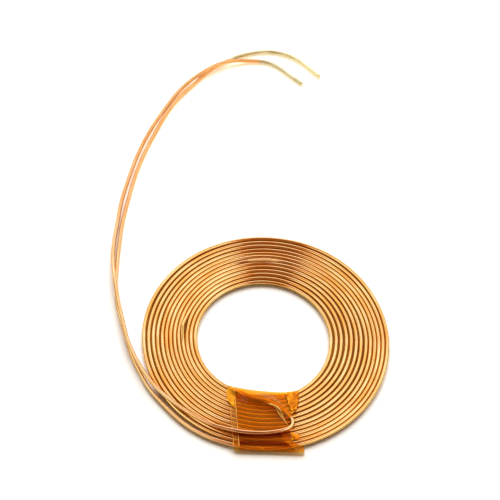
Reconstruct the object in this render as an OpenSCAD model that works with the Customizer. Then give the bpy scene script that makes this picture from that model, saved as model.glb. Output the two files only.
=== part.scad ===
// Flat wound charging coil: thirteen turns of enamelled copper wire lying side by side,
// held by a short sleeve of polyimide tape, with two long leads that end in tinned tips.
// Millimetres, +Z up. The origin is the centre of the winding, on the surface the coil lies on.
// +Y points across the coil from the tape to the side opposite it.

/* [Winding] */
// Outside diameter of the wound coil
coil_d = 43; // [42.8:0.1:43]
// Diameter of the wire over its enamel
wire_d = 0.7; // [0.6:0.05:0.7]
// Number of turns
turns = 13; // [12:1:13]
// Distance from one turn to the next
pitch = 0.75; // [0.72:0.01:0.75]
// Angle at which the innermost turn leaves the spiral
leave_angle = 240; // [230:1:240]
// Height of the turns' centre above the surface
wire_z = 0.45; // [0.44:0.01:0.46]

/* [Tape] */
// Width of the tape strip
tape_w = 11.6; // [10:0.2:11.6]
// Thickness of one ply of the tape
ply = 0.045; // [0.03:0.005:0.045]
// X of the tape's left edge at the hole
tape_left = -5.7; // [-5.7:0.1:-5.5]
// Sideways lean of the strip, in mm for each mm along Y
tape_lean = 0.1; // [0.05:0.01:0.12]
// Distance by which the second ply starts further in than the first
ply_step = 1.1; // [0.6:0.1:2]
// Depth of the notch that the returning lead presses into the right edge
notch_depth = 2.1; // [0:0.1:2.2]

/* [Tinned ends] */
// Diameter of the wire with its coat of solder
tinned_d = 0.72; // [0.71:0.01:0.74]
// Straight length at the end of the inner lead's tip
inner_pin_l = 6; // [4:0.5:8]
// Straight length at the end of the outer lead's tip
outer_pin_l = 4.5; // [4:0.5:8]

/* [Hidden] */

$fn = 48;
wire_r = wire_d / 2;
first_r = coil_d / 2 - wire_r - pitch / 4;
lead_sides = 8;

// The inner lead: out of the innermost turn, up over the other turns under the tape, out at the
// tape's right edge, back in a hairpin over the tape, down off the coil and away beside the outer lead.
crossing_points = 11;
inner_route = [
    [-5.79, -9.85, 0.45], [-5.25, -10.17, 0.55], [-4.7, -10.52, 0.8], [-4.1, -10.9, 1.05],
    [-3.4, -11.3, 1.17], [-2.5, -11.7, 1.17], [-1.3, -12.1, 1.17], [0, -12.4, 1.17],
    [1.9, -13.1, 1.17], [3.6, -14.3, 1.17], [4.58, -15.45, 1.17], [4.92, -15.96, 1.18],
    [5.05, -16.54, 1.21], [4.94, -17.07, 1.25], [4.54, -17.54, 1.28], [3.95, -17.89, 1.3],
    [3.19, -18.15, 1.3], [2.2, -18.37, 1.3], [1, -18.58, 1.3], [-0.99, -18.7, 1.3],
    [-3.6, -18.53, 1.3], [-5.19, -18.21, 1.25], [-6.9, -17.77, 1.17], [-8.56, -17.22, 1.17],
    [-10.21, -16.44, 1.17], [-11.92, -15.42, 1.17], [-13.61, -14.24, 1.17], [-15.46, -12.81, 1.17],
    [-17.35, -11.12, 1.17], [-19.17, -8.95, 1.17], [-21.1, -5.88, 1.12], [-23.13, -1.51, 1.08],
    [-24.27, 2.5, 1.08], [-25.3, 6.6, 1.08], [-26.1, 10.7, 1.08], [-26.7, 15, 0.8],
    [-26.75, 19.4, 0.45], [-26.4, 23.8, 0.36], [-25.95, 28.2, 0.36], [-25.25, 32, 0.36],
    [-23.4, 39.4, 0.36], [-21.7, 44.1, 0.36], [-18.2, 51.2, 0.36], [-16.5, 53.9, 0.45],
    [-14.5, 56.1, 0.65], [-12.4, 57.7, 1.04], [-10.3, 59.25, 1.08], [-8.2, 60.3, 0.95],
    [-6, 60.9, 0.65], [-4, 61.15, 0.42], [-2, 61.15, 0.36]
];
inner_exit_heading = leave_angle + 90;
inner_tip_heading = -1;

// The outer lead: straight on from the start of the outermost turn, beside it, and then away.
outer_route = [
    [0, -21.15, 0.45], [-2.7, -20.98, 0.45], [-5.15, -20.5, 0.45], [-6.8, -20.02, 0.41],
    [-8.5, -19.44, 0.37], [-10.15, -18.65, 0.36], [-11.85, -17.65, 0.36], [-13.55, -16.35, 0.36],
    [-15.3, -14.7, 0.36], [-17.05, -12.8, 0.36], [-18.85, -10.65, 0.36], [-20.7, -7.5, 0.36],
    [-22.5, -3.6, 0.36], [-23.35, -1.05, 0.36], [-24.6, 2.95, 0.36], [-25.55, 7, 0.36],
    [-25.95, 11.1, 0.36], [-25.95, 15.3, 0.36], [-25.8, 19.5, 0.36], [-25.5, 23.85, 0.36],
    [-24.85, 28.2, 0.36], [-24.2, 32, 0.36], [-22.25, 39.5, 0.36], [-20.55, 44.1, 0.36],
    [-17.25, 51.2, 0.36], [-13.6, 55.9, 0.36], [-9.9, 59.85, 0.36], [-7.9, 61.15, 0.36]
];
outer_exit_heading = 180;
outer_tip_heading = 33;

// Bends of the tinned tips, all to the right: their radii and angles.
inner_bend_r = 5.6;
inner_bend = 39.5;
wide_bend_r = 15.6;
wide_bend = 22.5;
tight_bend_r = 9.6;
tight_bend = 54;
coat_lap = 0.25;

// Tape sleeve: it lies flat under the turns, goes round the outermost and innermost turns in two
// straight folds, and is lifted into a ridge where the inner lead crosses under it.
tape_slack = 0.02;
ridge_slack = 0.08;
flat_top = wire_z + wire_r + tape_slack;
outer_fold_y = -21.66;
hole_fold = [
    [-5.9, -9.2], [-5.7, -9.35], [-5.25, -9.6], [-4.7, -9.9], [-4.1, -10.15],
    [-3, -10.3], [3, -10.35], [5, -10.2], [6, -9.98]
];
fold_top = [[-5.7, 0.86], [-4.7, 0.86], [-3.4, 0.55], [3.6, 0.55], [5, flat_top]];
fold_depth = 0.35;
fold_steps = 5;
shoulder_run = 0.55;
ridge_slope = 0.75;
ridge_flat = 0.35;
notch_y = -16.7;
notch_half = 2.4;
top_steps = 21;
front_steps = 14;
tape_steps = 18;
crossing = [for (i = [0 : crossing_points - 1]) inner_route[i]];
crossing_y = [for (p = crossing) [p[0], p[1]]];
crossing_z = [for (p = crossing) [p[0], p[2]]];

function unit(v) = v / norm(v);
function flat_heading(angle) = [cos(angle), sin(angle), 0];

// Direction of a route at point i; its two ends take the headings of the pieces they join.
function heading(route, i, first, last) =
    i == 0 ? flat_heading(first)
    : i == len(route) - 1 ? flat_heading(last)
    : unit(route[i + 1] - route[i - 1]);

// One ring of points round a route's point, square to its direction.
function ring(at, along) =
    let (side = unit(cross(along, [0, 0, 1])), lift = cross(side, along))
    [for (k = [0 : lead_sides - 1])
        let (a = 360 * (k + 0.5) / lead_sides) at + wire_r * (side * cos(a) + lift * sin(a))];

// Wire along a route, with flat ends.
module wire_along(route, first, last) {
    rings = len(route);
    points = [for (i = [0 : rings - 1]) each ring(route[i], heading(route, i, first, last))];
    start_face = [for (k = [lead_sides - 1 : -1 : 0]) k];
    end_face = [for (k = [0 : lead_sides - 1]) (rings - 1) * lead_sides + k];
    walls = [for (i = [0 : rings - 2], k = [0 : lead_sides - 1])
        let (a = i * lead_sides + k, b = i * lead_sides + (k + 1) % lead_sides)
        [a, b, b + lead_sides, a + lead_sides]];
    polyhedron(points, concat([start_face], walls, [end_face]));
}

// Half a turn of wire, or a part of one, about [0, shift] from a start angle.
module half_turn(r, shift, start, sweep) {
    translate([0, shift, wire_z])
        rotate([0, 0, start])
            rotate_extrude(angle = sweep)
                translate([r, 0])
                    circle(d = wire_d);
}

// The spiral: half turns about two centres half a pitch apart, each a half pitch smaller than the last.
module winding() {
    color("#d98b4e")
        union() {
            for (k = [0 : turns - 1]) {
                half_turn(first_r - k * pitch, -pitch / 4, -90, 180);
                half_turn(first_r - (k + 0.5) * pitch, pitch / 4, 90,
                    k == turns - 1 ? leave_angle - 90 : 180);
            }
        }
}

module inner_lead() {
    color("#f0ad70")
        wire_along(inner_route, inner_exit_heading, inner_tip_heading);
}

module outer_lead() {
    color("#eba565")
        wire_along(outer_route, outer_exit_heading, outer_tip_heading);
}

// A bend to the right starting along +X, with what follows it placed at its end. It reaches a
// little way into what follows, which is thicker, as the coat of solder is towards the end.
module bend_right(r, sweep, d) {
    reach = coat_lap / r * 180 / PI;
    translate([0, -r, 0])
        rotate([0, 0, 90 - sweep - reach])
            rotate_extrude(angle = sweep + reach)
                translate([r, 0])
                    circle(d = d);
    translate([r * sin(sweep), r * cos(sweep) - r, 0])
        rotate([0, 0, -sweep])
            children();
}

// The straight end of a tip, along +X.
module pin(length) {
    rotate([0, 90, 0])
        cylinder(d = tinned_d, h = length);
}

module inner_lead_tip() {
    color("#b9b49c")
        union()
            translate(inner_route[len(inner_route) - 1])
                rotate([0, 0, inner_tip_heading])
                    bend_right(inner_bend_r, inner_bend, wire_d)
                        pin(inner_pin_l);
}

module outer_lead_tip() {
    color("#b9b49c")
        union()
            translate(outer_route[len(outer_route) - 1])
                rotate([0, 0, outer_tip_heading])
                    bend_right(wide_bend_r, wide_bend, wire_d)
                        bend_right(tight_bend_r, tight_bend, (wire_d + tinned_d) / 2)
                            pin(outer_pin_l);
}

// X of the strip's left edge at a given Y; the strip leans.
function left_edge(y) = tape_left + tape_lean * (hole_fold[5][1] - y);

// How far the top sheet's right edge is pulled in at a given Y.
function notch(y) = notch_depth * exp(-pow((y - notch_y) / notch_half, 2));

// Height of the inside of the top sheet over the crossing wire; it falls away to both sides.
function ridge(x, y) =
    lookup(x, crossing_z) + wire_r + ridge_slack
    - ridge_slope * max(0, 0.85 * abs(y - lookup(x, crossing_y)) - ridge_flat);

// Height of the inside of the top sheet without the ridge; it sinks beyond the innermost turn.
function sheet(x, y) =
    let (fold_y = lookup(x, hole_fold) - fold_depth,
         shoulder_y = fold_y - shoulder_run,
         t = min(1, max(0, (y - shoulder_y) / (fold_y - shoulder_y))))
    flat_top + t * (lookup(x, fold_top) - flat_top);

function top_z(x, y) = max(ridge(x, y), sheet(x, y));

// Place on the top sheet at station s (0 left, 1 right) and a given Y.
function sheet_x(s, y) = left_edge(y) + s * (tape_w - notch(y));

// Y at which station s crosses the ridge.
function ridge_y(s) =
    let (near_y = lookup(sheet_x(s, -13), crossing_y))
    lookup(sheet_x(s, near_y), crossing_y);

// Inner outline of the sleeve at station s (0 left, 1 right), as points that go round it once.
function sleeve_outline(s) =
    let (xh = left_edge(hole_fold[5][1]) + s * tape_w,
         xo = left_edge(outer_fold_y) + s * tape_w,
         low = 2 * ply,
         wall = 2 * ply,
         ya = outer_fold_y + wall + fold_depth,
         yb = lookup(xh, hole_fold) - wall - fold_depth,
         yc = min(ridge_y(s), yb - ridge_flat),
         za = flat_top,
         zb = top_z(xh, yb))
    concat(
        [for (k = [0 : fold_steps - 1])
            let (a = -90 - 180 * k / fold_steps)
            [xo, ya + fold_depth * cos(a), (za + low) / 2 + (za - low) / 2 * sin(a)]],
        [for (k = [0 : top_steps])
            let (y = k < front_steps
                     ? ya + (yc - ya) * k / front_steps
                     : yc + (yb - yc) * (k - front_steps) / (top_steps - front_steps),
                 x = sheet_x(s, y))
            [x, y, top_z(x, y)]],
        [for (k = [1 : fold_steps])
            let (a = 90 - 180 * k / fold_steps)
            [xh, yb + fold_depth * cos(a), (zb + low) / 2 + (zb - low) / 2 * sin(a)]]
    );

// The same outline moved outwards by the thickness of the plies.
function moved_out(outline, thick) =
    let (n = len(outline))
    [for (i = [0 : n - 1])
        let (d = outline[(i + 1) % n] - outline[(i + n - 1) % n],
             out = unit([0, -d[2], d[1]]))
        outline[i] + thick * out];

// The tape: a sleeve of one ply along its left edge and two plies elsewhere.
module tape() {
    stations = concat([0, ply_step / tape_w - 0.004, ply_step / tape_w + 0.004],
        [for (k = [3 : tape_steps]) k / tape_steps]);
    inner = [for (s = stations) sleeve_outline(s)];
    outer = [for (i = [0 : len(stations) - 1])
        moved_out(inner[i], stations[i] < ply_step / tape_w ? ply : 2 * ply)];
    n = len(inner[0]);
    m = len(stations);
    inner_walls = [for (i = [0 : m - 2], k = [0 : n - 1])
        let (a = i * n + k, b = i * n + (k + 1) % n)
        each [[a, b + n, b], [a, a + n, b + n]]];
    outer_walls = [for (i = [0 : m - 2], k = [0 : n - 1])
        let (a = (m + i) * n + k, b = (m + i) * n + (k + 1) % n)
        each [[a, b, b + n], [a, b + n, a + n]]];
    left_rim = [for (k = [0 : n - 1])
        let (a = k, b = (k + 1) % n)
        each [[a, b, b + m * n], [a, b + m * n, a + m * n]]];
    right_rim = [for (k = [0 : n - 1])
        let (a = (m - 1) * n + k, b = (m - 1) * n + (k + 1) % n)
        each [[a, b + m * n, b], [a, a + m * n, b + m * n]]];
    color("#e2921e", 0.75)
        polyhedron([each for (o = inner) o, each for (o = outer) o],
            concat(inner_walls, outer_walls, left_rim, right_rim));
}

winding();
inner_lead();
outer_lead();
inner_lead_tip();
outer_lead_tip();
tape();
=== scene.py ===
import math

import bpy
import numpy as np
from mathutils import Matrix, Vector


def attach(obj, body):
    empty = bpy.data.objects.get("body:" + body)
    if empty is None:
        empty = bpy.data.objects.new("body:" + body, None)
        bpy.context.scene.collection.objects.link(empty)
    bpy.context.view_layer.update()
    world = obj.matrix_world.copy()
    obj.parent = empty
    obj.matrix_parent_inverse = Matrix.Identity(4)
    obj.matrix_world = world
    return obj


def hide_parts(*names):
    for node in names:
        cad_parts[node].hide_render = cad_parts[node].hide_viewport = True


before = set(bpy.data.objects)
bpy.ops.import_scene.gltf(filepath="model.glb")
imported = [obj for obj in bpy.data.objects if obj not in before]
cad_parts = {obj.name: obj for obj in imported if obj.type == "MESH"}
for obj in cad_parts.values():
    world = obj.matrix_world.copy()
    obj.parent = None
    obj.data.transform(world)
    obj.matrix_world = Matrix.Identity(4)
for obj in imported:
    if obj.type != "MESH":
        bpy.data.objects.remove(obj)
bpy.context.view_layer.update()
scene = bpy.context.scene

# ---------------------------------------------------------------------------------------------
# Camera: a long lens that looks down on the coil from the side of its tape, so that the circle
# of the winding shows as a gentle ellipse and both leads run away to the top of the view.
VIEW_SIZE = 500
COIL_CENTRE_PIXEL = (264.17, 340.23)
VIEW_DIP = math.radians(55.77)
VIEW_ROLL = math.radians(1.636)
VIEW_DISTANCE = 0.34112
LENS_MM = 144
SENSOR_MM = 36


def camera_place():
    """Camera axes from the dip and the roll, and a position from which the coil's centre falls on
    its pixel."""
    forward = Vector((0, math.cos(VIEW_DIP), -math.sin(VIEW_DIP)))
    level_right = Vector((1, 0, 0))
    level_up = level_right.cross(forward)
    right = math.cos(VIEW_ROLL) * level_right + math.sin(VIEW_ROLL) * level_up
    up = math.cos(VIEW_ROLL) * level_up - math.sin(VIEW_ROLL) * level_right
    focal_pixels = LENS_MM / SENSOR_MM * VIEW_SIZE
    aside = (COIL_CENTRE_PIXEL[0] - VIEW_SIZE / 2) / focal_pixels
    below = (COIL_CENTRE_PIXEL[1] - VIEW_SIZE / 2) / focal_pixels
    place = -VIEW_DISTANCE * (forward + aside * right - below * up)
    turn = Matrix((right, up, -forward)).transposed().to_4x4()
    return Matrix.Translation(place) @ turn


camera = bpy.data.objects.new("camera", bpy.data.cameras.new("camera"))
camera.data.lens = LENS_MM
camera.data.sensor_width = SENSOR_MM
camera.data.clip_start = 0.01
camera.data.clip_end = 10
camera.matrix_world = camera_place()
scene.collection.objects.link(camera)
scene.camera = camera

# ---------------------------------------------------------------------------------------------
# Leads: the two free ends of the one wire, 0.70 mm copper under clear enamel. The inner one crosses
# the turns under the tape, comes back over it in a hairpin, and leaves beside the outer one. Their
# far stretch is drawn rougher and in a more orange tone; the tone is painted and stands in for the
# soft, washed-out glare on the far leads.
MM = 0.001
WIRE_RADIUS = 0.35 * MM
WIRE_SIDES = 14
LEAD_STEP = 0.35 * MM
SPAN_POINTS = 24
DULL_FROM, DULL_OVER, DULL_AND_SHEEN_BY = 8 * MM, 26 * MM, 0.4

inner_route = MM * np.array([
    (-5.79, -9.85, 0.45), (-5.25, -10.17, 0.55), (-4.7, -10.52, 0.8), (-4.1, -10.9, 1.05),
    (-3.4, -11.3, 1.17), (-2.5, -11.7, 1.17), (-1.3, -12.1, 1.17), (0, -12.4, 1.17),
    (1.9, -13.1, 1.17), (3.6, -14.3, 1.17), (4.58, -15.45, 1.17), (4.92, -15.96, 1.18),
    (5.05, -16.54, 1.21), (4.94, -17.07, 1.25), (4.54, -17.54, 1.28), (3.95, -17.89, 1.3),
    (3.19, -18.15, 1.3), (2.2, -18.37, 1.3), (1, -18.58, 1.3), (-0.99, -18.7, 1.3),
    (-3.6, -18.53, 1.3), (-5.19, -18.21, 1.25), (-6.9, -17.77, 1.17), (-8.56, -17.22, 1.17),
    (-10.21, -16.44, 1.17), (-11.92, -15.42, 1.17), (-13.61, -14.24, 1.17), (-15.46, -12.81, 1.17),
    (-17.35, -11.12, 1.17), (-19.17, -8.95, 1.17), (-21.1, -5.88, 1.12), (-23.13, -1.51, 1.08),
    (-24.27, 2.5, 1.08), (-25.3, 6.6, 1.08), (-26.1, 10.7, 1.08), (-26.7, 15, 0.8),
    (-26.75, 19.4, 0.45), (-26.4, 23.8, 0.36), (-25.95, 28.2, 0.36), (-25.25, 32, 0.36),
    (-23.4, 39.4, 0.36), (-21.7, 44.1, 0.36), (-18.2, 51.2, 0.36), (-16.5, 53.9, 0.45),
    (-14.5, 56.1, 0.65), (-12.4, 57.7, 1.04), (-10.3, 59.25, 1.08), (-8.2, 60.3, 0.95),
    (-6, 60.9, 0.65), (-4, 61.15, 0.42), (-2, 61.15, 0.36)])
outer_route = MM * np.array([
    (0, -21.15, 0.45), (-2.7, -20.98, 0.45), (-5.15, -20.5, 0.45), (-6.8, -20.02, 0.41),
    (-8.5, -19.44, 0.37), (-10.15, -18.65, 0.36), (-11.85, -17.65, 0.36), (-13.55, -16.35, 0.36),
    (-15.3, -14.7, 0.36), (-17.05, -12.8, 0.36), (-18.85, -10.65, 0.36), (-20.7, -7.5, 0.36),
    (-22.5, -3.6, 0.36), (-23.35, -1.05, 0.36), (-24.6, 2.95, 0.36), (-25.55, 7, 0.36),
    (-25.95, 11.1, 0.36), (-25.95, 15.3, 0.36), (-25.8, 19.5, 0.36), (-25.5, 23.85, 0.36),
    (-24.85, 28.2, 0.36), (-24.2, 32, 0.36), (-22.25, 39.5, 0.36), (-20.55, 44.1, 0.36),
    (-17.25, 51.2, 0.36), (-13.6, 55.9, 0.36), (-9.9, 59.85, 0.36), (-7.9, 61.15, 0.36)])
INNER_EXIT_HEADING, INNER_TIP_HEADING = 330, -1
OUTER_EXIT_HEADING, OUTER_TIP_HEADING = 180, 33


def flat_way(degrees):
    """Unit vector in the plane of the coil, at an angle from +X."""
    return np.array((math.cos(math.radians(degrees)), math.sin(math.radians(degrees)), 0.0))


def lengths_along(line):
    """How far along the line each of its points is: the sum of the steps up to it."""
    steps = np.linalg.norm(np.diff(line, axis=0), axis=1)
    return np.concatenate(([0], np.cumsum(steps)))


def evenly_spaced(line, step):
    """The line's points moved along it to equal distances of about step."""
    along = lengths_along(line)
    wanted = np.linspace(0, along[-1], max(2, round(along[-1] / step) + 1))
    return np.stack([np.interp(wanted, along, line[:, axis]) for axis in range(3)], axis=1)


def smooth_line(route, start_way, end_way, step):
    """Cubic spline with even curvature through the route's points, leaving and arriving along the
    two given directions: the slopes solve one linear system in which neighbouring spans share
    their second derivative, and each span is the usual cubic between two points and two slopes."""
    span = np.linalg.norm(np.diff(route, axis=0), axis=1)
    chord = np.diff(route, axis=0) / span[:, None]
    count = len(route)
    matrix = np.eye(count)
    right = np.zeros((count, 3))
    right[0], right[-1] = start_way, end_way
    inside = np.arange(1, count - 1)
    matrix[inside, inside - 1] = 1 / span[:-1]
    matrix[inside, inside] = 2 / span[:-1] + 2 / span[1:]
    matrix[inside, inside + 1] = 1 / span[1:]
    right[inside] = 3 * (chord[:-1] / span[:-1, None] + chord[1:] / span[1:, None])
    slope = np.linalg.solve(matrix, right)
    t = np.linspace(0, 1, SPAN_POINTS, endpoint=False)[None, :, None]
    a, b = route[:-1, None], route[1:, None]
    m, n = (span[:, None] * slope[:-1])[:, None], (span[:, None] * slope[1:])[:, None]
    fine = (2 * t**3 - 3 * t**2 + 1) * a + (t**3 - 2 * t**2 + t) * m
    fine += (3 * t**2 - 2 * t**3) * b + (t**3 - t**2) * n
    return evenly_spaced(np.vstack((fine.reshape(-1, 3), route[-1:])), step)


def ring_walls(rings, sides):
    """Ring number and corner number of each face between one ring of points and the next, and the
    faces: a corner, the same corner one ring on, and the corners beside these two."""
    i, k = np.meshgrid(np.arange(rings - 1), np.arange(sides), indexing="ij")
    near, beside = i * sides + k, i * sides + (k + 1) % sides
    walls = np.stack((near, near + sides, beside + sides, beside), axis=-1).reshape(-1, 4)
    return i, k, walls


def tube_mesh(name, line, radius, sides):
    """Round tube: a circle of the given radius (one value, or one for each point) stands square to
    the line at each of its points. UV holds millimetres along the line and turns round it."""
    way = np.gradient(line, axis=0)
    way /= np.linalg.norm(way, axis=1)[:, None]
    side = np.cross(way, (0, 0, 1))
    side /= np.linalg.norm(side, axis=1)[:, None]
    lift = np.cross(side, way)
    angle = 2 * np.pi * np.arange(sides) / sides
    across, up = np.cos(angle)[None, :, None], np.sin(angle)[None, :, None]
    radius = np.broadcast_to(radius, len(line))[:, None, None]
    points = line[:, None] + radius * (across * side[:, None] + up * lift[:, None])
    rings = len(line)
    i, k, walls = ring_walls(rings, sides)
    first_cap = list(range(sides))
    last_cap = list(range(rings * sides - 1, (rings - 1) * sides - 1, -1))
    mesh = bpy.data.meshes.new(name)
    mesh.from_pydata(points.reshape(-1, 3), [], walls.tolist() + [first_cap, last_cap])
    along = lengths_along(line) / MM
    u = np.stack((along[i], along[i + 1], along[i + 1], along[i]), axis=-1)
    v = np.stack((k, k, k + 1, k + 1), axis=-1) / sides
    cap_uv = np.zeros((2 * sides, 2))
    cap_uv[sides:, 0] = along[-1]
    uv = np.concatenate((np.stack((u, v), axis=-1).reshape(-1, 2), cap_uv))
    mesh.uv_layers.new(name="wire").data.foreach_set("uv", uv.astype(np.float32).ravel())
    mesh.polygons.foreach_set("use_smooth", np.r_[np.ones(len(walls)), 0, 0].astype(bool))
    mesh.update()
    return mesh


def new_piece(name, mesh, material):
    """An object at the origin that shows the mesh with one material."""
    piece = bpy.data.objects.new(name, mesh)
    mesh.materials.append(material)
    scene.collection.objects.link(piece)
    return piece


def mark_dull_and_sheen(piece, roughness):
    """Notes on each ring of a wire how much rougher it is drawn and how far its colour moves to its
    second tone, which is painted light.
    """
    layer = piece.data.attributes.new("dull_and_sheen", "FLOAT", "POINT")
    layer.data.foreach_set("value", np.repeat(roughness, WIRE_SIDES).astype(np.float32))


def feed(socket, value):
    """Gives a node's input its value: another node's output, a colour as a tuple, a vector as a
    list, or a number."""
    if isinstance(value, bpy.types.NodeSocket):
        socket.id_data.links.new(value, socket)
    else:
        socket.default_value = (*value, 1) if isinstance(value, tuple) else value


def add_node(tree, kind, **settings):
    """A node with its properties and, by their names, its inputs."""
    node = tree.nodes.new(kind)
    for key, value in settings.items():
        if hasattr(node, key):
            setattr(node, key, value)
        else:
            feed(node.inputs[key], value)
    return node


def calculated(tree, operation, *values):
    """Result of one piece of arithmetic on numbers or sockets."""
    node = add_node(tree, "ShaderNodeMath", operation=operation)
    for socket, value in zip(node.inputs, values):
        feed(socket, value)
    return node.outputs[0]


def ranged(tree, value, low, high, to_low=0.0, to_high=1.0, interpolation="LINEAR"):
    """The value moved from low..high to to_low..to_high, and held at both ends."""
    node = add_node(tree, "ShaderNodeMapRange", interpolation_type=interpolation, Value=value)
    limits = {"From Min": low, "From Max": high, "To Min": to_low, "To Max": to_high}
    for title, limit in limits.items():
        feed(node.inputs[title], limit)
    return node.outputs["Result"]


def mixed(tree, factor, first, second, blend="MIX"):
    """Mix of two colours, each a socket or a constant."""
    node = add_node(tree, "ShaderNodeMix", data_type="RGBA", blend_type=blend)
    for title, value in (("Factor", factor), ("A", first), ("B", second)):
        feed(node.inputs[title], value)
    return node.outputs["Result"]


def noise(tree, place, scale, detail, dimensions="3D"):
    """Soft noise from 0 to 1."""
    return add_node(tree, "ShaderNodeTexNoise", noise_dimensions=dimensions, Vector=place,
                    Scale=scale, Detail=detail).outputs["Fac"]


def bumped(tree, height, strength, distance):
    """Normal of a surface that a height from 0 to 1 raises by the distance."""
    return add_node(tree, "ShaderNodeBump", Height=height, Strength=strength,
                    Distance=distance).outputs["Normal"]


def node_group(name, inputs, outputs):
    """A node group from the titles, kinds and usual values of its inputs and the titles and kinds
    of its outputs. Also the sockets inside it that give the inputs and take the outputs."""
    group = bpy.data.node_groups.new(name, "ShaderNodeTree")
    for title, kind, value in inputs:
        socket = group.interface.new_socket(title, in_out="INPUT", socket_type="NodeSocket" + kind)
        feed(socket, value)
    for title, kind in outputs:
        group.interface.new_socket(title, in_out="OUTPUT", socket_type="NodeSocket" + kind)
    given = group.nodes.new("NodeGroupInput").outputs
    result = group.nodes.new("NodeGroupOutput").inputs
    return group, given, result


def use_group(tree, group, values):
    """Outputs of a node group that is placed in a material with the material's own values."""
    node = add_node(tree, "ShaderNodeGroup", node_tree=group)
    for title, value in values.items():
        feed(node.inputs[title], value)
    return node.outputs


def new_material(name, **plain):
    """A node material, its tree, and its shader's inputs, of which some get plain values. A title's
    spaces are written as underscores."""
    material = bpy.data.materials.new(name)
    material.use_nodes = True
    surface = material.node_tree.nodes["Principled BSDF"].inputs
    for title, value in plain.items():
        surface[title.replace("_", " ")].default_value = value
    return material, material.node_tree, surface


def drawn_wire_group():
    """Enamelled wire: tone wanders along the wire, thin marks of the drawing die run with it, and
    the enamel is a little wavy. Puts out a mask for the tone, a mask for the marks and a height."""
    group, given, result = node_group(
        "drawn_wire",
        [("Tone length", "Float", 9.0), ("Mark length", "Float", 2.2),
         ("Mark count", "Float", 6.0)],
        [("Tone", "Float"), ("Marks", "Float"), ("Height", "Float")])
    wire_map = group.nodes.new("ShaderNodeTexCoord").outputs["UV"]
    split = group.nodes.new("ShaderNodeSeparateXYZ")
    feed(split.inputs[0], wire_map)

    def streaks(length, count, detail):
        """Noise that is drawn out to a length along the wire and has so many streaks round it."""
        both = add_node(group, "ShaderNodeCombineXYZ",
                        X=calculated(group, "DIVIDE", split.outputs["X"], length),
                        Y=calculated(group, "MULTIPLY", split.outputs["Y"], count))
        return noise(group, both.outputs[0], 1.0, detail, "2D")

    tone = streaks(given["Tone length"], 0.0, 2.0)
    marks = streaks(given["Mark length"], given["Mark count"], 1.0)
    feed(result["Tone"], ranged(group, tone, 0.32, 0.68))
    feed(result["Marks"], ranged(group, marks, 0.45, 0.75))
    feed(result["Height"], streaks(given["Mark length"], 1.5, 2.0))
    return group


DRAWN_WIRE = drawn_wire_group()
MARKS_GLOSSIER, MARKS_DULLER = 0.04, 0.08


def copper_material(name, light_tone, deep_tone, sheen_tone, roughness, tone_length):
    """Copper under clear enamel: the tone moves between two colours along the wire, and the drawing
    marks and the enamel's waviness show in the gloss. Where a stretch is marked, the wire is
    rougher and its colour moves to a second tone, which is a painted sheen."""
    material, tree, surface = new_material(
        name, Metallic=1, Coat_Weight=0.08, Coat_Roughness=0.12, Coat_IOR=1.5)
    wire = use_group(tree, DRAWN_WIRE, {"Tone length": tone_length})
    dull_and_sheen = add_node(tree, "ShaderNodeAttribute", attribute_name="dull_and_sheen").outputs["Fac"]
    tone = mixed(tree, wire["Tone"], deep_tone, light_tone)
    gloss = ranged(tree, wire["Marks"], 0, 1, roughness - MARKS_GLOSSIER, roughness + MARKS_DULLER)
    feed(surface["Base Color"], mixed(tree, dull_and_sheen, tone, sheen_tone))
    feed(surface["Roughness"], calculated(tree, "ADD", gloss, dull_and_sheen))
    feed(surface["Normal"], bumped(tree, wire["Height"], 0.25, 0.03 * MM))
    return material


lead_copper = copper_material(
    "lead_copper", light_tone=(0.90, 0.58, 0.25), deep_tone=(0.86, 0.45, 0.15),
    sheen_tone=(1.0, 0.50, 0.17), roughness=0.16, tone_length=7.0)
inner_line = smooth_line(
    inner_route, flat_way(INNER_EXIT_HEADING), flat_way(INNER_TIP_HEADING), LEAD_STEP)
outer_line = smooth_line(
    outer_route, flat_way(OUTER_EXIT_HEADING), flat_way(OUTER_TIP_HEADING), LEAD_STEP)
inner_tube = tube_mesh("inner_lead", inner_line, WIRE_RADIUS, WIRE_SIDES)
outer_tube = tube_mesh("outer_lead", outer_line, WIRE_RADIUS, WIRE_SIDES)
inner_lead = new_piece("enamelled_inner_lead", inner_tube, lead_copper)
outer_lead = new_piece("enamelled_outer_lead", outer_tube, lead_copper)
# Painted glare: each lead's far stretch is marked rougher and moved to a more orange tone that
# paints its washed-out look.
for lead, line, node in (
        (inner_lead, inner_line, "inner_lead"), (outer_lead, outer_line, "outer_lead")):
    mark_dull_and_sheen(lead, DULL_AND_SHEEN_BY * np.clip((line[:, 1] - DULL_FROM) / DULL_OVER, 0, 1))
    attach(lead, "root")
    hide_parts(node)

# ---------------------------------------------------------------------------------------------
# Tinned tips: the enamel is stripped from the last stretch of each lead and the bare copper dipped
# in solder, which leaves a thin, dull, slightly lumpy coat that ends in a small round drop.
TINNED_RADIUS = 0.36 * MM
COAT_FULL_AFTER = 2.5 * MM
LUMP_SIZES, LUMP_RATES = (0.2, 0.6), (0.9, 1.7, 3.1)
INNER_SEED, OUTER_SEED = 3, 4
ANY_PHASE = 6.3
LEAST_TAIL = 0.02
# Towards the end of each tip the solder is drawn paler: partly the brighter bare solder, partly a
# painted glare.
GLARE_FROM, GLARE_AT = 8.0, 16.0
FLUX_TONE, SOLDER_TONE, GLARE_PALE_TONE = (0.56, 0.46, 0.22), (0.86, 0.78, 0.50), (0.97, 0.86, 0.50)
inner_bends, INNER_STRAIGHT = [(5.6, 39.5)], 6.0
outer_bends, OUTER_STRAIGHT = [(15.6, 22.5), (9.6, 54.0)], 4.5
TIP_STEP = 0.2 * MM
ARC_POINTS = 40


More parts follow.
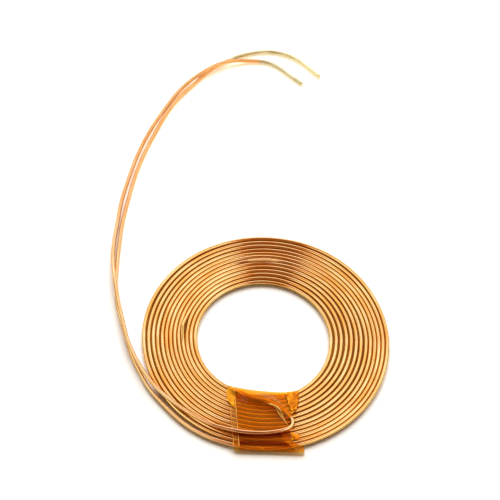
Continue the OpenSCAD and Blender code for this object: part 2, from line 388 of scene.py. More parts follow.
def tip_line(start, heading, bends, straight):
    """Centre line of a tip: arcs to the right one after another, given as radius in mm and angle,
    then a straight. On each arc the point is the arc's centre plus its radius, turned back by the
    angle."""
    stretches = []
    at = np.array(start)
    for radius, sweep in bends:
        turn = np.radians(heading + 90 - np.linspace(0, sweep, ARC_POINTS))
        centre = at - radius * MM * flat_way(heading + 90)
        arc = centre + radius * MM * np.stack((np.cos(turn), np.sin(turn), 0 * turn), axis=1)
        stretches.append(arc)
        at = arc[-1]
        heading -= sweep
    stretches.append(np.array((at, at + straight * MM * flat_way(heading))))
    joined = np.vstack([stretches[0]] + [part[1:] for part in stretches[1:]])
    return evenly_spaced(joined, TIP_STEP)


def coat_radius(line, seed):
    """Radius along a tip: the wire's own at first, then the coat with a few slow swells, and a
    round end, where the radius falls as a quarter circle."""
    rng = np.random.default_rng(seed)
    along = lengths_along(line)
    coat = np.clip(along / COAT_FULL_AFTER, 0, 1)
    lumps = sum(rng.uniform(*LUMP_SIZES) * np.sin(along / MM * rate + rng.uniform(0, ANY_PHASE))
                for rate in LUMP_RATES)
    radius = WIRE_RADIUS + coat * (TINNED_RADIUS - WIRE_RADIUS) * (1 + lumps)
    left = along[-1] - along
    tail = np.sqrt(np.clip(1 - (1 - left / TINNED_RADIUS) ** 2, LEAST_TAIL, 1))
    return np.where(left < TINNED_RADIUS, radius * tail, radius)


def rippled_group():
    """Fine ripples of a surface that set dull or smooth, as one soft noise in space. Puts out a
    roughness between the two given ones and a height."""
    group, given, result = node_group(
        "rippled_surface",
        [("Scale", "Float", 1000.0), ("Smoothest", "Float", 0.1), ("Dullest", "Float", 0.5)],
        [("Roughness", "Float"), ("Height", "Float")])
    place = group.nodes.new("ShaderNodeTexCoord").outputs["Object"]
    ripple = noise(group, place, given["Scale"], 3.0)
    feed(result["Roughness"], ranged(group, ripple, 0, 1, given["Smoothest"], given["Dullest"]))
    feed(result["Height"], ripple)
    return group


RIPPLED = rippled_group()


def solder_material():
    """Solder: a dull metal with darker flux stains and a lumpy surface, paler to its end, which is
    partly the brighter bare solder and partly a painted glare.
    """
    material, tree, surface = new_material("tinned_copper", Metallic=0.55)
    place = tree.nodes.new("ShaderNodeTexCoord").outputs
    lumps = use_group(tree, RIPPLED, {"Scale": 1400.0, "Smoothest": 0.28, "Dullest": 0.5})
    stain = ranged(tree, noise(tree, place["Object"], 330.0, 2.0), 0.35, 0.66)
    along = tree.nodes.new("ShaderNodeSeparateXYZ")
    feed(along.inputs[0], place["UV"])
    paler_with_glare = ranged(tree, along.outputs["X"], GLARE_FROM, GLARE_AT)
    stained = mixed(tree, stain, FLUX_TONE, SOLDER_TONE)
    feed(surface["Base Color"], mixed(tree, paler_with_glare, stained, GLARE_PALE_TONE))
    feed(surface["Roughness"], lumps["Roughness"])
    feed(surface["Normal"], bumped(tree, lumps["Height"], 0.5, 0.05 * MM))
    return material


solder = solder_material()
inner_tip_line = tip_line(inner_route[-1], INNER_TIP_HEADING, inner_bends, INNER_STRAIGHT)
outer_tip_line = tip_line(outer_route[-1], OUTER_TIP_HEADING, outer_bends, OUTER_STRAIGHT)
inner_coat = coat_radius(inner_tip_line, INNER_SEED)
outer_coat = coat_radius(outer_tip_line, OUTER_SEED)
inner_tip = new_piece(
    "tinned_inner_tip", tube_mesh("inner_tip", inner_tip_line, inner_coat, WIRE_SIDES), solder)
outer_tip = new_piece(
    "tinned_outer_tip", tube_mesh("outer_tip", outer_tip_line, outer_coat, WIRE_SIDES), solder)
for tip, node in ((inner_tip, "inner_lead_tip"), (outer_tip, "outer_lead_tip")):
    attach(tip, "root")
    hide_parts(node)

# ---------------------------------------------------------------------------------------------
# Winding: thirteen turns of the same wire laid side by side by hand on a flat former, so each turn
# wanders a little, opens a gap here and there, and rides up on its neighbour where it is squeezed.
# A thin dark brown strip between the turns is painted shade in the gaps between them. Sizes are in
# mm.
TURNS = 12 + 330 / 360
STATIONS = 240
START_ANGLE = -90
PITCH = 0.75
WIRE_Z = 0.45
LOWEST_Z = 0.445
HELD_STATIONS = 22
SETTLE_ROUNDS = 260
CLEAR_BETWEEN = 0.004
PUSH_SHARE, EASE_SHARE = 0.45, 0.25
RIDE_TURNS = 0.3
# Painted shade: a dark strip between each turn and the next, a little below the wires' middle,
# darkens the gaps.
GAP_SHADE_HALF, GAP_SHADE_BELOW = 0.05 * MM, 0.075 * MM
# Painted highlight: a short stretch of a middle turn is rougher and its colour moves to a pale
# peach, standing in for a band that catches the light.
SHEEN_TURN, SHEEN_REACH, SHEEN_BY = 6.505, 0.024, 0.6
WINDING_SEED = 11
# Mean values, and waves as number of lobes, cosine part and sine part, of four lengths: the first
# turn's radius, the step from turn to turn, a swell of the band's middle, a sway of its halves.
FIRST_RADIUS = (21.10, [(2, 0.06, -0.24)])
TURN_STEP = (0.757, [(1, 0.04, 0.013), (2, 0.005, -0.019)])
MIDDLE_SWELL = (-0.016, [(1, 0.40, 0.04)])
HALVES_SWAY = (-0.013, [(1, 0.04, -0.14)])
WANDER, WANDER_RATES, WANDER_DRIFT = 0.022, (2.3, 3.7, 5.9, 9.1), 0.37
# Places where a turn strays: angle, number of the turn from the outside, shift outwards.
strays = [
    (240, 9, -0.37), (240, 8, -0.2), (240, 3, -0.23), (240, 11, 0.25), (88, 3, 0.23),
    (88, 9, 0.19), (32, 3, -0.21), (32, 4, -0.21), (8, 2, -0.21), (8, 6, 0.2), (136, 7, -0.2),
    (56, 8, 0.18), (56, 1, 0.2), (184, 4, 0.2)]
# Places where a turn was squeezed upwards: angle, turn, lift, width in degrees.
lifts = [
    (97, 6, 0.34, 9.0), (196, 10, 0.2, 8.0), (152, 11, 0.14, 10.0), (20, 4, 0.14, 12.0),
    (330, 7, 0.16, 10.0)]
# Places where a turn lies on its neighbour: angle, turn, shift outwards, lift, width in degrees.
rides = [(172, 10, 0.20, 0.42, 7.0), (92, 7, -0.20, 0.42, 10.0)]


def near_place(turns, at_angle, at_turn, width=14.0, turn_width=0.35):
    """1 near one place on one turn and 0 away from it: a bell curve in the angle, in degrees, and
    in the turn."""
    off = (START_ANGLE + 360 * turns - at_angle + 180) % 360 - 180
    there = at_turn - 1 + (at_angle - START_ANGLE) % 360 / 360
    return np.exp(-((off / width) ** 2) - ((turns - there) / turn_width) ** 2)


def lobed(phi, mean, waves):
    """A mean value plus cosine and sine waves, each with its number of lobes round the coil."""
    return mean + sum(c * np.cos(lobes * phi) + s * np.sin(lobes * phi) for lobes, c, s in waves)


def winding_shape(turns):
    """Radius and height of the wire's centre line against turns: a steady spiral, plus slow waves
    for the former's play, plus places where one turn strays. Also how free each point is: 0 at
    the two ends, which stay where the leads take over, and 1 elsewhere."""
    phi = np.radians(START_ANGLE + 360 * turns)
    share = turns / TURNS
    radius = lobed(phi, *FIRST_RADIUS) - turns * lobed(phi, *TURN_STEP)
    radius += np.sin(np.pi * share) * lobed(phi, *MIDDLE_SWELL)
    radius += np.sin(2 * np.pi * share) * lobed(phi, *HALVES_SWAY)
    for at_angle, at_turn, shift in strays:
        radius += shift * near_place(turns, at_angle, at_turn)
    rng = np.random.default_rng(WINDING_SEED)
    for rate in WANDER_RATES:
        radius += (WANDER * np.sin(rate * phi + rng.uniform(0, ANY_PHASE))
                   * np.sin(WANDER_DRIFT * rate * turns + rng.uniform(0, ANY_PHASE)))
    height = np.full(len(turns), WIRE_Z)
    for at_angle, at_turn, lift, width in lifts:
        height += lift * near_place(turns, at_angle, at_turn, width, RIDE_TURNS)
    stations = np.arange(len(turns))
    free = np.clip(np.minimum(stations, stations[::-1]) / HELD_STATIONS, 0, 1)
    free = free * free * (3 - 2 * free)
    outer_end = math.hypot(*outer_route[0, :2]) / MM
    inner_end = math.hypot(*inner_route[0, :2]) / MM
    held = np.where(turns < TURNS / 2, outer_end, inner_end + (TURNS - turns) * PITCH)
    return held + free * (radius - held), height, free


def settle_turns(radius, height, free):
    """Turns that would cut into each other are moved apart, each by a share of what is missing, in
    radius and, where the band is full, upwards; then each turn is smoothed along itself."""
    apart = 2 * WIRE_RADIUS / MM + CLEAR_BETWEEN
    for _ in range(SETTLE_ROUNDS):
        gap_r = radius[:-STATIONS] - radius[STATIONS:]
        gap_z = height[:-STATIONS] - height[STATIONS:]
        distance = np.hypot(gap_r, gap_z)
        push = PUSH_SHARE * np.clip(apart - distance, 0, None) / distance
        for values, gap in ((radius, gap_r), (height, gap_z)):
            values[:-STATIONS] += push * gap * free[:-STATIONS]
            values[STATIONS:] -= push * gap * free[STATIONS:]
            bend = values[:-2] + values[2:] - 2 * values[1:-1]
            values[1:-1] += EASE_SHARE * bend * free[1:-1]
        np.maximum(height, LOWEST_Z, out=height)


def gap_shade_mesh(line):
    """Flat strip from each point of the line to the point one turn further in, a little below the
    middle of the wire: a dark sheet that paints the shade in the gaps between the turns."""
    up = np.array((0, 0, GAP_SHADE_HALF))
    middle = line - np.array((0, 0, GAP_SHADE_BELOW))
    first, second = middle[:-STATIONS], middle[STATIONS:]
    rings = np.stack((first - up, first + up, second + up, second - up), axis=1)
    walls = ring_walls(len(rings), 4)[2]
    end = 4 * len(rings)
    caps = [[0, 1, 2, 3], [end - 1, end - 2, end - 3, end - 4]]
    mesh = bpy.data.meshes.new("painted_gap_shade")
    mesh.from_pydata(rings.reshape(-1, 3), [], walls.tolist() + caps)
    mesh.update()
    return mesh


def cloudy_group():
    """Cloudy resin or adhesive: patches and streaks of two tones, as a noise that is drawn out in
    the tape's length. Puts out the colour and a height."""
    group, given, result = node_group(
        "cloudy_resin",
        [("Dark", "Color", (0.5, 0.2, 0.0)), ("Light", "Color", (0.8, 0.3, 0.0)),
         ("Scale", "Float", 2600.0)],
        [("Color", "Color"), ("Height", "Float")])
    place = group.nodes.new("ShaderNodeTexCoord").outputs["Object"]
    drawn_out = add_node(group, "ShaderNodeMapping", Vector=place, Scale=[1.0, 0.45, 1.0])
    patches = noise(group, drawn_out.outputs[0], given["Scale"], 3.0)
    tone = ranged(group, patches, 0.36, 0.64)
    feed(result["Color"], mixed(group, tone, given["Dark"], given["Light"]))
    feed(result["Height"], patches)
    return group


CLOUDY = cloudy_group()


def cloudy_material(name, dark, light, scale):
    """Half matt and slightly rippled, in patches and streaks of two tones."""
    material, tree, surface = new_material(name, Roughness=0.45, Specular_IOR_Level=0.1)
    cloud = use_group(tree, CLOUDY, {"Dark": dark, "Light": light, "Scale": scale})
    feed(surface["Base Color"], cloud["Color"])
    feed(surface["Normal"], bumped(tree, cloud["Height"], 0.4, 0.05 * MM))
    return material


turns = np.arange(round(TURNS * STATIONS) + 1) / STATIONS
winding_radius, winding_height, winding_free = winding_shape(turns)
settle_turns(winding_radius, winding_height, winding_free)
for at_angle, at_turn, shift, lift, width in rides:
    ridden = near_place(turns, at_angle, at_turn, width, RIDE_TURNS)
    winding_radius += shift * ridden
    winding_height += lift * ridden
phi = np.radians(START_ANGLE + 360 * turns)
winding_line = MM * np.stack(
    (winding_radius * np.cos(phi), winding_radius * np.sin(phi), winding_height), axis=1)
coil_copper = copper_material(
    "enamelled_copper", light_tone=(0.90, 0.60, 0.23), deep_tone=(0.86, 0.42, 0.09),
    sheen_tone=(1.0, 0.66, 0.34), roughness=0.12, tone_length=8.0)
winding = new_piece(
    "wound_turns", tube_mesh("wound_turns", winding_line, WIRE_RADIUS, WIRE_SIDES), coil_copper)
# Painted highlight: marks the short stretch of one middle turn that is drawn rougher and in the
# pale sheen tone.
mark_dull_and_sheen(winding, SHEEN_BY * np.clip(1.5 - np.abs(turns - SHEEN_TURN) / SHEEN_REACH, 0, 1))
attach(winding, "root")
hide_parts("winding")
# Painted shade: the strip between the turns is drawn dark brown.
gap_shade_sheet = cloudy_material("gap_shade_sheet", (0.13, 0.05, 0.006), (0.24, 0.10, 0.015), 300.0)
gap_shade_strip = new_piece("painted_gap_shade", gap_shade_mesh(winding_line), gap_shade_sheet)
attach(gap_shade_strip, "root")

# ---------------------------------------------------------------------------------------------
# Tape: one strip of amber polyimide film, wound about twice round the band of turns into a flat
# sleeve. It is thin and springy, so it is lifted over the crossing wire and creased beside it.
# Sizes are in mm.
PLY = 0.045
WALL = 2 * PLY
TAPE_WIDTH = 11.6
TAPE_LEFT = -5.7
TAPE_LEAN = 0.1
PLY_STEP, PLY_STEP_OVER = 0.9, 0.08
OUTER_FOLD_Y = -21.66
HOLE_EDGE_Y = -10.3
FLAT_TOP = 0.82
FOLD_DEPTH = 0.35
SINK_OVER = 0.55
OFF_TABLE = 0.012
NOTCH_Y, NOTCH_DEPTH, NOTCH_HOLE_SIDE, NOTCH_OUTER_SIDE = -16.7, 2.1, 2.4, 4.0
RIDGE_CLEAR, RIDGE_SLOPE, RIDGE_SLANT = 0.08, 0.75, 0.85
ACROSS_STATIONS, FOLD_POINTS, TOP_POINTS, BACK_POINTS = 150, 13, 130, 30
hole_fold = np.array([
    (-5.9, -9.2), (-5.7, -9.35), (-5.25, -9.6), (-4.7, -9.9), (-4.1, -10.15),
    (-3, -10.3), (3, -10.35), (5, -10.2), (6, -9.98)])
fold_top = np.array([(-5.7, 0.86), (-4.7, 0.86), (-3.4, 0.55), (3.6, 0.55), (5, 0.82)])
crossing = inner_route[:11] / MM
# Creases of the film beside the crossing wire: start, end, height, half width.
creases = [
    ((1.9, -14.0), (3.9, -16.9), 0.20, 0.13), ((2.4, -13.9), (4.3, -16.0), 0.16, 0.10),
    ((1.2, -13.6), (2.9, -16.2), 0.14, 0.12), ((0.2, -13.2), (2.2, -13.9), 0.12, 0.16),
    ((3.0, -14.6), (3.4, -17.3), 0.12, 0.09), ((4.9, -12.4), (5.9, -14.9), 0.10, 0.14),
    ((5.3, -11.2), (4.4, -13.2), 0.09, 0.15), ((5.9, -12.2), (4.9, -13.7), 0.08, 0.12)]
# What else deepens or thins the film's colour, in plies: below one line, and in bands (y, half
# width, plies, share of the width), painted shade of the return wire and of the turns under it
# deepens it, and along both folds a painted glow of light through the film thins it.
SHADE_LINE_Y, SHADE_LINE_OVER, SHADE_LINE_PLIES, SHADE_LINE_SHARE = -18.3, 0.1, 0.7, 0.86
shade_bands = [(-18.75, 0.45, 1.0, 1.0), (-20.45, 0.5, 1.3, 0.86)]
GLOW_OVER = 0.2
HOLE_GLOW_Y, HOLE_GLOW_PLIES = -10.95, 0.6
OUTER_GLOW_Y, OUTER_GLOW_PLIES = -21.0, 0.9


def left_edge(y):
    """X of the strip's left edge: a straight line that leans with y."""
    return TAPE_LEFT + TAPE_LEAN * (HOLE_EDGE_Y - y)


def edge_wander(y):
    """Small raggedness of the cut edges: three sine waves of falling length."""
    return 0.05 * np.sin(2.1 * y + 0.4) + 0.03 * np.sin(5.3 * y + 1.9) + 0.02 * np.sin(11.7 * y)


def sheet_place(s, y):
    """X on the top sheet at station s, 0 at the left edge and 1 at the right: the right edge is
    pulled in by a notch where the hairpin presses on it, a bell curve towards the hole and a
    flatter curve of the eighth power towards the outside."""
    off = y - NOTCH_Y
    notch = NOTCH_DEPTH * np.where(
        off > 0, np.exp(-((off / NOTCH_HOLE_SIDE) ** 2)), np.exp(-((off / NOTCH_OUTER_SIDE) ** 8)))
    return left_edge(y) + s * (TAPE_WIDTH - notch + edge_wander(y))


def line_bump(x, y, start, end, height, half_width):
    """Ridge along a straight line: a bell curve of the distance from it, fading to its ends."""
    start, way = np.array(start), np.array(end) - np.array(start)
    length = np.hypot(*way)
    along = ((x - start[0]) * way[0] + (y - start[1]) * way[1]) / length
    off = ((x - start[0]) * way[1] - (y - start[1]) * way[0]) / length
    fade = np.clip(np.sin(np.pi * np.clip(along / length, 0, 1)), 0, None) ** 0.6
    return height * fade * np.exp(-((off / half_width) ** 2))


def film_height(x, y):
    """Height of the inside of the top sheet: flat on the turns, sinking past the innermost one,
    lifted over the crossing wire with straight flanks, and creased."""
    fold_y = np.interp(x, hole_fold[:, 0], hole_fold[:, 1]) - FOLD_DEPTH
    sunk = np.clip((y - fold_y + SINK_OVER) / SINK_OVER, 0, 1)
    flat = FLAT_TOP + sunk * (np.interp(x, fold_top[:, 0], fold_top[:, 1]) - FLAT_TOP)
    wire_y = np.interp(x, crossing[:, 0], crossing[:, 1])
    wire_top = np.interp(x, crossing[:, 0], crossing[:, 2]) + WIRE_RADIUS / MM
    past_wire = np.clip(RIDGE_SLANT * np.abs(y - wire_y) - WIRE_RADIUS / MM, 0, None)
    height = np.maximum(flat, wire_top + RIDGE_CLEAR - RIDGE_SLOPE * past_wire)
    for start, end, lift, half_width in creases:
        height = height + line_bump(x, y, start, end, lift, half_width)
    return height


def film_sleeve():
    """Closed outline of the sleeve at each station across the strip: round the outer fold, along
    the top, round the fold at the hole, and back along the bottom, each fold being half an
    ellipse. Points are (station, place, xyz)."""
    s = np.linspace(0, 1, ACROSS_STATIONS)[:, None]
    x_hole = left_edge(HOLE_EDGE_Y) + s * TAPE_WIDTH
    x_out = left_edge(OUTER_FOLD_Y) + s * TAPE_WIDTH
    low = WALL + OFF_TABLE
    y_out = OUTER_FOLD_Y + WALL + FOLD_DEPTH
    y_hole = np.interp(x_hole, hole_fold[:, 0], hole_fold[:, 1]) - WALL - FOLD_DEPTH
    turn = np.radians(np.linspace(-90, -270, FOLD_POINTS))[None, :-1]
    outer_x = x_out + 0 * turn
    outer_y = y_out + FOLD_DEPTH * np.cos(turn) + 0 * s
    outer_z = (FLAT_TOP + low) / 2 + (FLAT_TOP - low) / 2 * np.sin(turn) + 0 * s
    share = np.linspace(0, 1, TOP_POINTS)[None, :]
    top_y = y_out + (y_hole - y_out) * share
    top_x = sheet_place(s, top_y)
    top_z = film_height(top_x, top_y)
    turn = np.radians(np.linspace(90, -90, FOLD_POINTS))[None, 1:]
    end_z = film_height(x_hole, y_hole)
    hole_x = x_hole + 0 * turn
    hole_y = y_hole + FOLD_DEPTH * np.cos(turn)
    hole_z = (end_z + low) / 2 + (end_z - low) / 2 * np.sin(turn)
    back = np.linspace(0, 1, BACK_POINTS)[None, 1:-1]
    back_x = x_hole + (x_out - x_hole) * back
    back_y = y_hole + (y_out - y_hole) * back
    back_z = low + 0 * back_y
    x = np.concatenate((outer_x, top_x, hole_x, back_x), axis=1)
    y = np.concatenate((outer_y, top_y, hole_y, back_y), axis=1)
    z = np.concatenate((outer_z, top_z, hole_z, back_z), axis=1)
    return s, np.stack((x, y, z), axis=-1)


def shown_plies(s, y, plies):
    """Depth of the film's colour in plies: its own plies, painted shade below one line and in bands
    that are bell curves of the fourth power, and less along both folds as a painted glow."""
    doubled = plies > 1.5
    shade_below_line = np.clip((SHADE_LINE_Y - y) / SHADE_LINE_OVER, 0, 1) * (s <= SHADE_LINE_SHARE)
    shown = plies + SHADE_LINE_PLIES * shade_below_line * doubled
    for band_y, half, more, share in shade_bands:
        shown += more * np.exp(-(((y - band_y) / half) ** 4)) * (s <= share)
    glow_plies = HOLE_GLOW_PLIES * np.clip((y - HOLE_GLOW_Y) / GLOW_OVER, 0, 1)
    glow_plies += OUTER_GLOW_PLIES * np.clip((OUTER_GLOW_Y - y) / GLOW_OVER, 0, 1)
    return shown - glow_plies * doubled


def film_mesh():
    """Two walls, the inside outline and the same moved outwards in its own plane by one ply along
    the left edge and two elsewhere, joined by rims at both cut edges."""
    s, inside = film_sleeve()
    around = np.roll(inside, -1, axis=1) - np.roll(inside, 1, axis=1)
    out = np.stack((0 * around[..., 0], -around[..., 2], around[..., 1]), axis=-1)
    out /= np.linalg.norm(out, axis=-1)[..., None]
    plies = 1 + np.clip((s * TAPE_WIDTH - PLY_STEP) / PLY_STEP_OVER + 0.5, 0, 1)
    outside = inside + (plies * PLY)[..., None] * out
    rows, count = inside.shape[:2]
    points = MM * np.concatenate((inside.reshape(-1, 3), outside.reshape(-1, 3)))
    walls = ring_walls(rows, count)[2]
    shift = rows * count
    inner, outer = np.roll(walls[:, ::-1], 1, axis=1), walls + shift
    a = np.arange(count)
    b = (a + 1) % count
    left = np.stack((a, a + shift, b + shift, b), axis=-1)
    a, b = a + (rows - 1) * count, b + (rows - 1) * count
    right = np.stack((a, b, b + shift, a + shift), axis=-1)
    mesh = bpy.data.meshes.new("tape_sleeve")
    mesh.from_pydata(points, [], np.concatenate((inner, outer, left, right)).tolist())
    # The colour's depth in plies also carries painted shade and a painted glow.
    layer = mesh.attributes.new("plies", "FLOAT", "POINT")
    shown = shown_plies(s, inside[..., 1], plies)
    layer.data.foreach_set("value", np.tile(shown.ravel(), 2).astype(np.float32))
    smooth = np.r_[np.ones(len(inner) + len(outer)), np.zeros(len(left) + len(right))]
    mesh.polygons.foreach_set("use_smooth", smooth.astype(bool))
    mesh.update()
    return mesh


def film_material():
    """Amber film: clear and glossy, deeper in colour where plies lie on each other and where
    painted shade is added to the ply count, paler where a painted glow is, and rippled from the
    adhesive under it. Light that falls through it is tinted."""
    material, tree, surface = new_material("polyimide_tape", Transmission_Weight=0.94, IOR=1.18)
    plies = add_node(tree, "ShaderNodeAttribute", attribute_name="plies").outputs["Fac"]
    colour = add_node(tree, "ShaderNodeValToRGB", Fac=ranged(tree, plies, 1, 4))
    stops = colour.color_ramp.elements
    for place in (0.333, 0.667):
        stops.new(place)
    tones = [(0.96, 0.74, 0.25), (0.95, 0.53, 0.02), (0.80, 0.38, 0.012), (0.50, 0.12, 0.003)]
    for stop, tone in zip(stops, tones):
        stop.color = (*tone, 1)
    feed(surface["Base Color"], colour.outputs["Color"])
    ripple = use_group(tree, RIPPLED, {"Scale": 900.0, "Smoothest": 0.03, "Dullest": 0.16})
    feed(surface["Roughness"], ripple["Roughness"])
    feed(surface["Normal"], bumped(tree, ripple["Height"], 0.35, 0.04 * MM))
    shadow = add_node(tree, "ShaderNodeBsdfTransparent", Color=(0.55, 0.40, 0.16))
    path = tree.nodes.new("ShaderNodeLightPath")
    choice = add_node(tree, "ShaderNodeMixShader", Fac=path.outputs["Is Shadow Ray"])
    feed(choice.inputs[1], tree.nodes["Principled BSDF"].outputs[0])
    feed(choice.inputs[2], shadow.outputs[0])
    feed(tree.nodes["Material Output"].inputs["Surface"], choice.outputs[0])
    return material


tape = new_piece("tape_sleeve", film_mesh(), film_material())
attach(tape, "root")
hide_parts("tape")

# ---------------------------------------------------------------------------------------------
# Loose bits of the tape: cloudy flaps of single film that stand off the turns, thin beads along the
# two plies' cut edges, drawn in a light amber as a painted highlight of the edges, and the sharp
# folds beside the crossing wire, drawn as thin tubes in a pale amber as painted glints.
FLAP_GRID = 26
FLAP_CLEAR, FLAP_THICK = 0.02, 0.02
FLAP_PHASE = 6
SIDE_WAVES, END_WAVES = ((0.035, 9), (0.02, 23)), ((0.03, 8), (0.02, 21))
RIPPLES, RIPPLE_RATES = 5, (2, 7)
CORNER_BIT_Z = 0.84
LINE_STEP = 0.12
BEAD_RADIUS, FOLD_RADIUS, LINE_SIDES = 0.065 * MM, 0.1 * MM, 8
TAPER_SHARE = (0.06, 0.94)
BEADS_FROM, BEADS_TO, FIRST_BEAD_TO, BEAD_POINTS = -21.2, -10.7, -13.9, 60
tab_corners = [(-6.05, -10.25), (-4.75, -10.3), (-4.62, -14.1), (-6.0, -12.5)]
shoulder_corners = [(3.6, -10.75), (5.8, -10.6), (5.75, -13.9), (4.75, -14.4)]
bit_corners = [(4.75, -18.2), (6.25, -18.75), (6.3, -19.7), (4.85, -19.6)]
long_fold = [
    (0.9, -13.35), (1.9, -13.75), (2.35, -14.2), (2.75, -15.1), (3.6, -16.0), (4.25, -16.9)]
middle_fold = [(2.5, -14.5), (3.2, -15.2), (3.9, -16.3)]
short_fold = [(1.3, -13.3), (2.2, -13.75), (2.9, -14.5), (3.4, -15.3)]


def on_film(x, y):
    """Height of the tape's upper surface at a place."""
    return film_height(x, y) + WALL


def flap_mesh(name, corners, base, ripple, seed):
    """Thin sheet between four corners, ragged at its rim: straight blends between the corners,
    plus ripples from a few sine waves, on top of the height that base gives. It is closed
    underneath."""
    rng = np.random.default_rng(seed)

    def ragged(along, waves):
        """Sum of sine waves, each given as size and rate."""
        return sum(size * np.sin(rate * along + rng.uniform(0, FLAP_PHASE))
                   for size, rate in waves)

    steps = np.linspace(0, 1, FLAP_GRID)
    u, v = np.meshgrid(steps, steps, indexing="ij")
    s = (u + ragged(v, SIDE_WAVES) * (2 * u - 1))[..., None]
    r = (v + ragged(u, END_WAVES) * (2 * v - 1))[..., None]
    a, b, c, d = (np.array(corner) for corner in corners)
    place = (1 - r) * ((1 - s) * a + s * b) + r * ((1 - s) * d + s * c)
    x, y = place[..., 0], place[..., 1]
    waves = sum(np.sin(rng.uniform(*RIPPLE_RATES) * x + rng.uniform(*RIPPLE_RATES) * y
                       + rng.uniform(0, FLAP_PHASE)) for _ in range(RIPPLES))
    under_z = base(x, y) + FLAP_CLEAR + ripple * (1 + waves / RIPPLES)
    sheets = [np.stack((x, y, z), axis=-1).reshape(-1, 3) for z in (under_z + FLAP_THICK, under_z)]
    sheet_size, last = FLAP_GRID**2, FLAP_GRID - 1
    n = np.arange(last)
    i, k = np.meshgrid(n, n, indexing="ij")
    at = (i * FLAP_GRID + k).ravel()
    top = np.stack((at, at + 1, at + FLAP_GRID + 1, at + FLAP_GRID), axis=-1)
    rim = np.concatenate((
        n, n * FLAP_GRID + last, last * FLAP_GRID + last - n, (last - n) * FLAP_GRID))
    following = np.roll(rim, -1)
    rims = np.stack((rim, rim + sheet_size, following + sheet_size, following), axis=-1)
    faces = np.concatenate((top, np.roll(top[:, ::-1], 1, axis=1) + sheet_size, rims))
    mesh = bpy.data.meshes.new(name)
    mesh.from_pydata(MM * np.concatenate(sheets), [], faces.tolist())
    mesh.polygons.foreach_set("use_smooth", np.ones(len(faces), dtype=bool))
    mesh.update()
    return mesh


def line_on_film(points):
    """The points joined by straights with even small steps, lying on the film."""
    line = evenly_spaced(np.array([(x, y, 0.0) for x, y in points]), LINE_STEP)
    line[:, 2] = on_film(line[:, 0], line[:, 1]) + FLAP_CLEAR
    return line * MM


cloudy_amber = cloudy_material("cloudy_amber", (0.50, 0.17, 0.002), (0.74, 0.31, 0.015), 2600.0)
mottled_amber = cloudy_material("mottled_amber", (0.42, 0.10, 0.001), (0.88, 0.30, 0.01), 2400.0)
# Painted highlight: the beads on the cut edges are drawn in a light amber.
edge_highlight_amber = cloudy_material("edge_highlight_amber", (0.60, 0.22, 0.03), (0.92, 0.40, 0.08), 2600.0)
# Painted glints: the folds beside the crossing wire are drawn in a pale amber.
glint_amber = cloudy_material("glint_amber", (0.75, 0.36, 0.05), (1.0, 0.62, 0.17), 3000.0)
flaps = [
    ("tape_tab", tab_corners, on_film, 0.05, cloudy_amber, 21),
    ("tape_shoulder", shoulder_corners, on_film, 0.07, mottled_amber, 22),
    ("tape_corner_bit", bit_corners, lambda x, y: CORNER_BIT_Z + 0 * x, 0.12, mottled_amber, 23)]
tape_bits = [new_piece(name, flap_mesh(name, corners, base, ripple, seed), material)
             for name, corners, base, ripple, material, seed in flaps]
bead_y = np.linspace(BEADS_FROM, BEADS_TO, BEAD_POINTS)
beads = [("tape_first_edge", [(left_edge(y), y) for y in bead_y if y < FIRST_BEAD_TO]),
         ("tape_second_edge", [(left_edge(y) + PLY_STEP, y) for y in bead_y])]
for name, points in beads:
    mesh = tube_mesh(name, line_on_film(points), BEAD_RADIUS, LINE_SIDES)
    tape_bits.append(new_piece(name, mesh, edge_highlight_amber))
folds = [("tape_long_fold", long_fold), ("tape_middle_fold", middle_fold),
         ("tape_short_fold", short_fold)]
for name, points in folds:
    line = line_on_film(points)
    taper = np.sin(np.pi * np.linspace(*TAPER_SHARE, len(line))) ** 0.5
    mesh = tube_mesh(name, line, FOLD_RADIUS * taper, LINE_SIDES)
    tape_bits.append(new_piece(name, mesh, glint_amber))
for bit in tape_bits:
    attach(bit, "root")

# ---------------------------------------------------------------------------------------------
# Studio: a white table in a product tent. Wide soft panels with warm edges light the wire from the
# left, the right and behind, the brown slit over the camera stays dark, and a lamp above the back
# panel throws short soft shadows. On the far part of the table a painted warm glow, which only the
# camera, reflections and views through the film see, washes these shadows out.
TABLE_HALF = 1.5
PAPER_TONE = (0.86, 0.86, 0.86)
PAINTED_GLOW_TONE = (1.0, 0.86, 0.58)
TABLE_GLOW_FROM, TABLE_GLOW_AT, TABLE_GLOW_STRENGTH = 0.012, 0.062, 0.6
LAMP_PLACE = (0.03, 0.675, 0.49)
LAMP_SIZE = (1.2, 0.7)
LAMP_POWER = 21.0


def brightest(tree, first, *others):
    """The greatest of several sockets."""
    for other in others:
        first = calculated(tree, "MAXIMUM", first, other)
    return first


table_corners = [
    (x * TABLE_HALF, y * TABLE_HALF, 0.0) for x, y in ((-1, -1), (1, -1), (1, 1), (-1, 1))]
table_mesh = bpy.data.meshes.new("table")
table_mesh.from_pydata(table_corners, [], [(0, 1, 2, 3)])
table_material = bpy.data.materials.new("white_table")
table_material.use_nodes = True
tree = table_material.node_tree
tree.nodes.remove(tree.nodes["Principled BSDF"])
paper = add_node(tree, "ShaderNodeBsdfDiffuse", Color=PAPER_TONE)
away = tree.nodes.new("ShaderNodeSeparateXYZ")
feed(away.inputs[0], tree.nodes.new("ShaderNodeTexCoord").outputs["Object"])
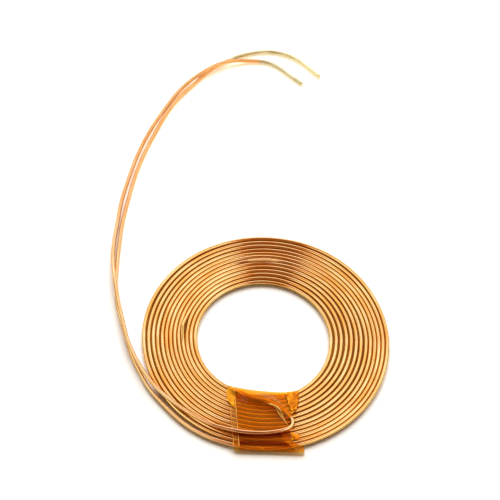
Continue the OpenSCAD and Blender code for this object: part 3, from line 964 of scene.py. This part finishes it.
# Painted glow: the far part of the table emits a warm light that lifts its shadows.
glow_amount = ranged(tree, away.outputs["Y"], TABLE_GLOW_FROM, TABLE_GLOW_AT, 0.0, TABLE_GLOW_STRENGTH)
path = tree.nodes.new("ShaderNodeLightPath").outputs
seen = brightest(tree, path["Is Camera Ray"], path["Is Glossy Ray"], path["Is Transmission Ray"])
painted_glow = add_node(tree, "ShaderNodeEmission", Color=PAINTED_GLOW_TONE,
                Strength=calculated(tree, "MULTIPLY", glow_amount, seen))
both = tree.nodes.new("ShaderNodeAddShader")
feed(both.inputs[0], paper.outputs[0])
feed(both.inputs[1], painted_glow.outputs[0])
feed(tree.nodes["Material Output"].inputs["Surface"], both.outputs[0])
table = new_piece("table", table_mesh, table_material)

lamp = bpy.data.objects.new("back_lamp", bpy.data.lights.new("back_lamp", "AREA"))
lamp.data.shape = "RECTANGLE"
lamp.data.size, lamp.data.size_y = LAMP_SIZE
lamp.data.energy = LAMP_POWER
aimed = Vector(LAMP_PLACE).to_track_quat("Z", "Y").to_matrix().to_4x4()
lamp.matrix_world = Matrix.Translation(LAMP_PLACE) @ aimed
lamp.visible_glossy = False
lamp.visible_camera = False
lamp.visible_transmission = False
scene.collection.objects.link(lamp)

# The tent, as directions: its middle in X, and where each part begins and is full in X, Y or Z.
TENT_MIDDLE = -0.065
FRONT_END = (-0.75, -0.55)
EDGE_BEGINS = (0.25, 0.28)
PANEL_BEGINS = (0.32, 0.35)
SKIRT_ENDS = (0.47, 0.61)
BACK_BEGINS = (0.48, 0.54)
BACK_FOOT = (0.24, 0.38)
SLIT_COLOUR = (0.32, 0.145, 0.09)
EDGE_COLOUR = (1.20, 0.52, 0.24)
SKIRT_COLOUR = (0.20, 0.115, 0.02)
SIDE_COLOUR = (1.55, 1.90, 2.08)
BACK_COLOUR = (1.60, 1.55, 2.0)
# Share of light left by a second mirroring between two turns, light on matt surfaces, and the
# white that the camera sees round the table.
GAP_SHARE = (0.72, 0.66, 0.22)
ROOM_COLOUR = (0.27, 0.19, 0.11)
WHITE = (1.0, 1.0, 1.0)

world = bpy.data.worlds.new("white_room")
world.use_nodes = True
scene.world = world
tree = world.node_tree
split = tree.nodes.new("ShaderNodeSeparateXYZ")
feed(split.inputs[0], tree.nodes.new("ShaderNodeTexCoord").outputs["Generated"])
way_x, way_y, way_z = split.outputs
path = tree.nodes.new("ShaderNodeLightPath").outputs


def part_of_tent(way, begins, *others):
    """Mask of a part of the tent: a smooth step in one direction, times other masks."""
    mask = ranged(tree, way, *begins, interpolation="SMOOTHSTEP")
    for other in others:
        mask = calculated(tree, "MULTIPLY", mask, other)
    return mask


aside = calculated(tree, "ABSOLUTE", calculated(tree, "SUBTRACT", way_x, TENT_MIDDLE))
not_front = part_of_tent(way_y, FRONT_END)
edges = part_of_tent(aside, EDGE_BEGINS, not_front)
sides = part_of_tent(aside, PANEL_BEGINS, not_front)
behind = part_of_tent(way_y, BACK_BEGINS, part_of_tent(way_z, BACK_FOOT))
panel = mixed(tree, part_of_tent(way_z, SKIRT_ENDS), SKIRT_COLOUR, SIDE_COLOUR)
tent = mixed(tree, edges, SLIT_COLOUR, EDGE_COLOUR)
tent = mixed(tree, sides, tent, panel)
tent = mixed(tree, behind, tent, BACK_COLOUR)
mirrored_twice = calculated(tree, "GREATER_THAN", path["Glossy Depth"], 1.5)
tent = mixed(tree, mirrored_twice, tent, GAP_SHARE, "MULTIPLY")
studio = mixed(tree, path["Is Glossy Ray"], ROOM_COLOUR, tent)
straight = calculated(tree, "LESS_THAN", path["Glossy Depth"], 0.5)
through = calculated(tree, "MULTIPLY", path["Is Transmission Ray"], straight)
white_for = brightest(tree, path["Is Camera Ray"], through)
background = tree.nodes["Background"].inputs
feed(background["Color"], mixed(tree, white_for, studio, WHITE))
background["Strength"].default_value = 1.0

scene.view_settings.view_transform = "Standard"
